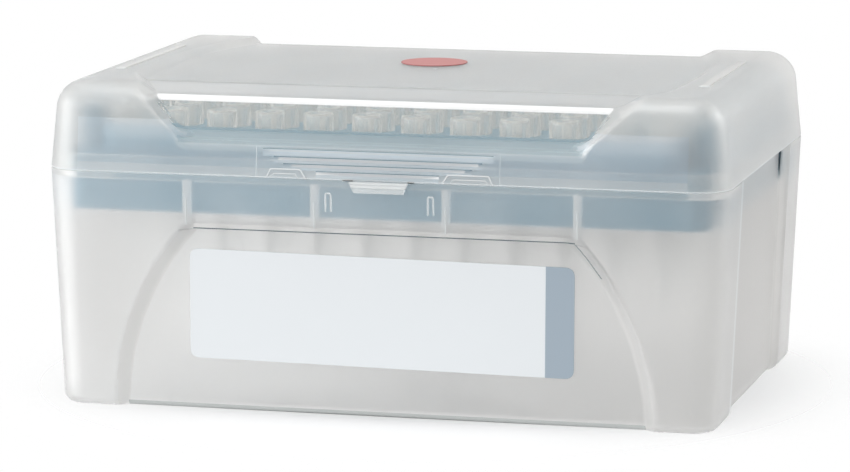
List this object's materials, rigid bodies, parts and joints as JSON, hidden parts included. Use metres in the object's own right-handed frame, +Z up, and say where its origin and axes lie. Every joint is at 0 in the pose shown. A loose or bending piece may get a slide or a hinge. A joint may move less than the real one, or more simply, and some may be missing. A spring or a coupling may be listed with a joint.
{
  "type": "pipette tip box",
  "caption": "Hinged translucent box with a lift-out rack tray that holds filter pipette tips by their collars.",
  "frame": {"origin": "middle of the tub's underside, on the surface that it stands on", "axes": "+X along the width to the viewer's right, +Y to the hinged back, +Z up"},
  "size_m": [0.1248, 0.0897, 0.0592],
  "materials": {
    "frosted_tub": "frosted translucent polypropylene",
    "frosted_lid": "frosted translucent polypropylene with a polished window",
    "blue_tray": "satin blue-grey polypropylene",
    "clear_tip": "clear natural polypropylene",
    "filter_plug": "sintered porous polyethylene",
    "label_paper": "satin printed label film",
    "red_sticker": "satin printed label film"
  },
  "bodies": {
    "tub": {"base": "frosted_tub", "tray": "blue_tray", "label": "label_paper", "tips_row_a": "clear_tip", "tips_row_b": "clear_tip", "tips_row_c": "clear_tip", "tips_row_d": "clear_tip", "tips_row_e": "clear_tip", "tips_row_f": "clear_tip", "tips_row_g": "clear_tip", "tips_row_h": "clear_tip", "filters_row_a": "filter_plug", "filters_row_b": "filter_plug", "filters_row_c": "filter_plug", "filters_row_d": "filter_plug", "filters_row_e": "filter_plug", "filters_row_f": "filter_plug", "filters_row_g": "filter_plug", "filters_row_h": "filter_plug"},
    "cover": {"lid": "frosted_lid", "lid_dot": "red_sticker"}
  },
  "joints": [
    {"name": "lid_hinge", "type": "hinge", "parent": "tub", "child": "cover", "pos_m": [0, 0.0446, 0.0434], "axis": [-1, 0, 0], "range_deg": [0, 110]}
  ]
}
